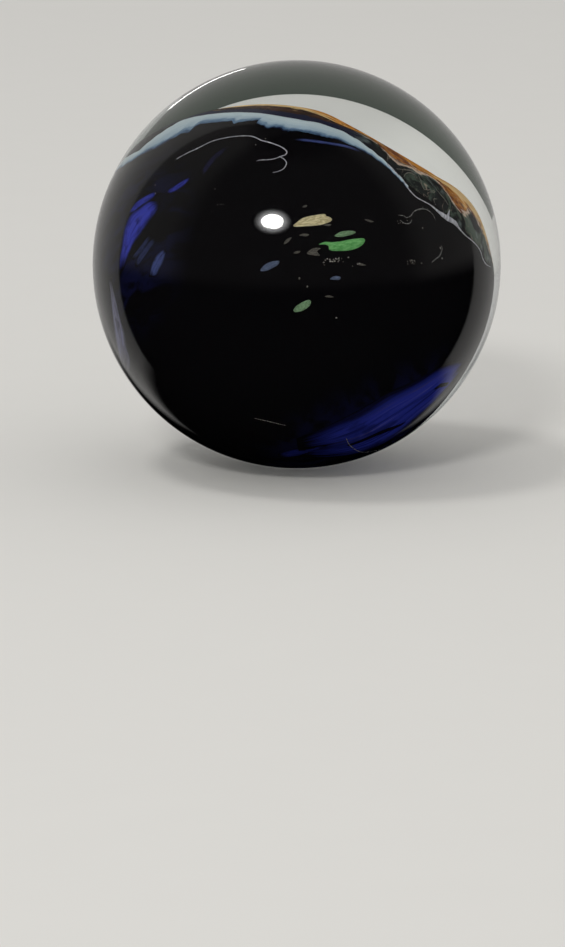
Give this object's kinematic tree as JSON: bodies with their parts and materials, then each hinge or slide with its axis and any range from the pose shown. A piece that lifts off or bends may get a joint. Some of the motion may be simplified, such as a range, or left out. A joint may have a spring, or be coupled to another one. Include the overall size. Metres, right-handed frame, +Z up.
{
  "type": "glass marble",
  "caption": "Solid round glass marble: a dark core with a domed coloured cap, a pale band and small coloured flecks, sealed in thick clear glass.",
  "frame": {"origin": "centre of the marble, which is the centre of its outer sphere", "axes": "+Z up as it is shown; seen from -Y the cap leans back, up and to the right"},
  "size_m": [0.0635, 0.0634, 0.0636],
  "materials": {
    "clear_glass": "polished, clear with a faint green tint",
    "black_glass": "opaque black, seen through the clear casing",
    "fumed_glass": "amber and moss streaks over dark glass",
    "pale_blue_glass": "opaque pale blue with drawn-out edges",
    "white_glass": "opaque white thread with a lilac cast",
    "cream_glass": "opaque cream",
    "green_glass": "opaque leaf green",
    "blue_glass": "opaque grey blue",
    "cobalt_glass": "deep cobalt drawn thin over black"
  },
  "bodies": {
    "root": {"clear_casing": "clear_glass", "dark_core": "black_glass", "fumed_cap": "fumed_glass", "pale_band": "pale_blue_glass", "white_thread": "white_glass", "cream_chips": "cream_glass", "green_chips": "green_glass", "blue_chip": "blue_glass", "cobalt_streaks": "cobalt_glass"}
  },
  "joints": []
}
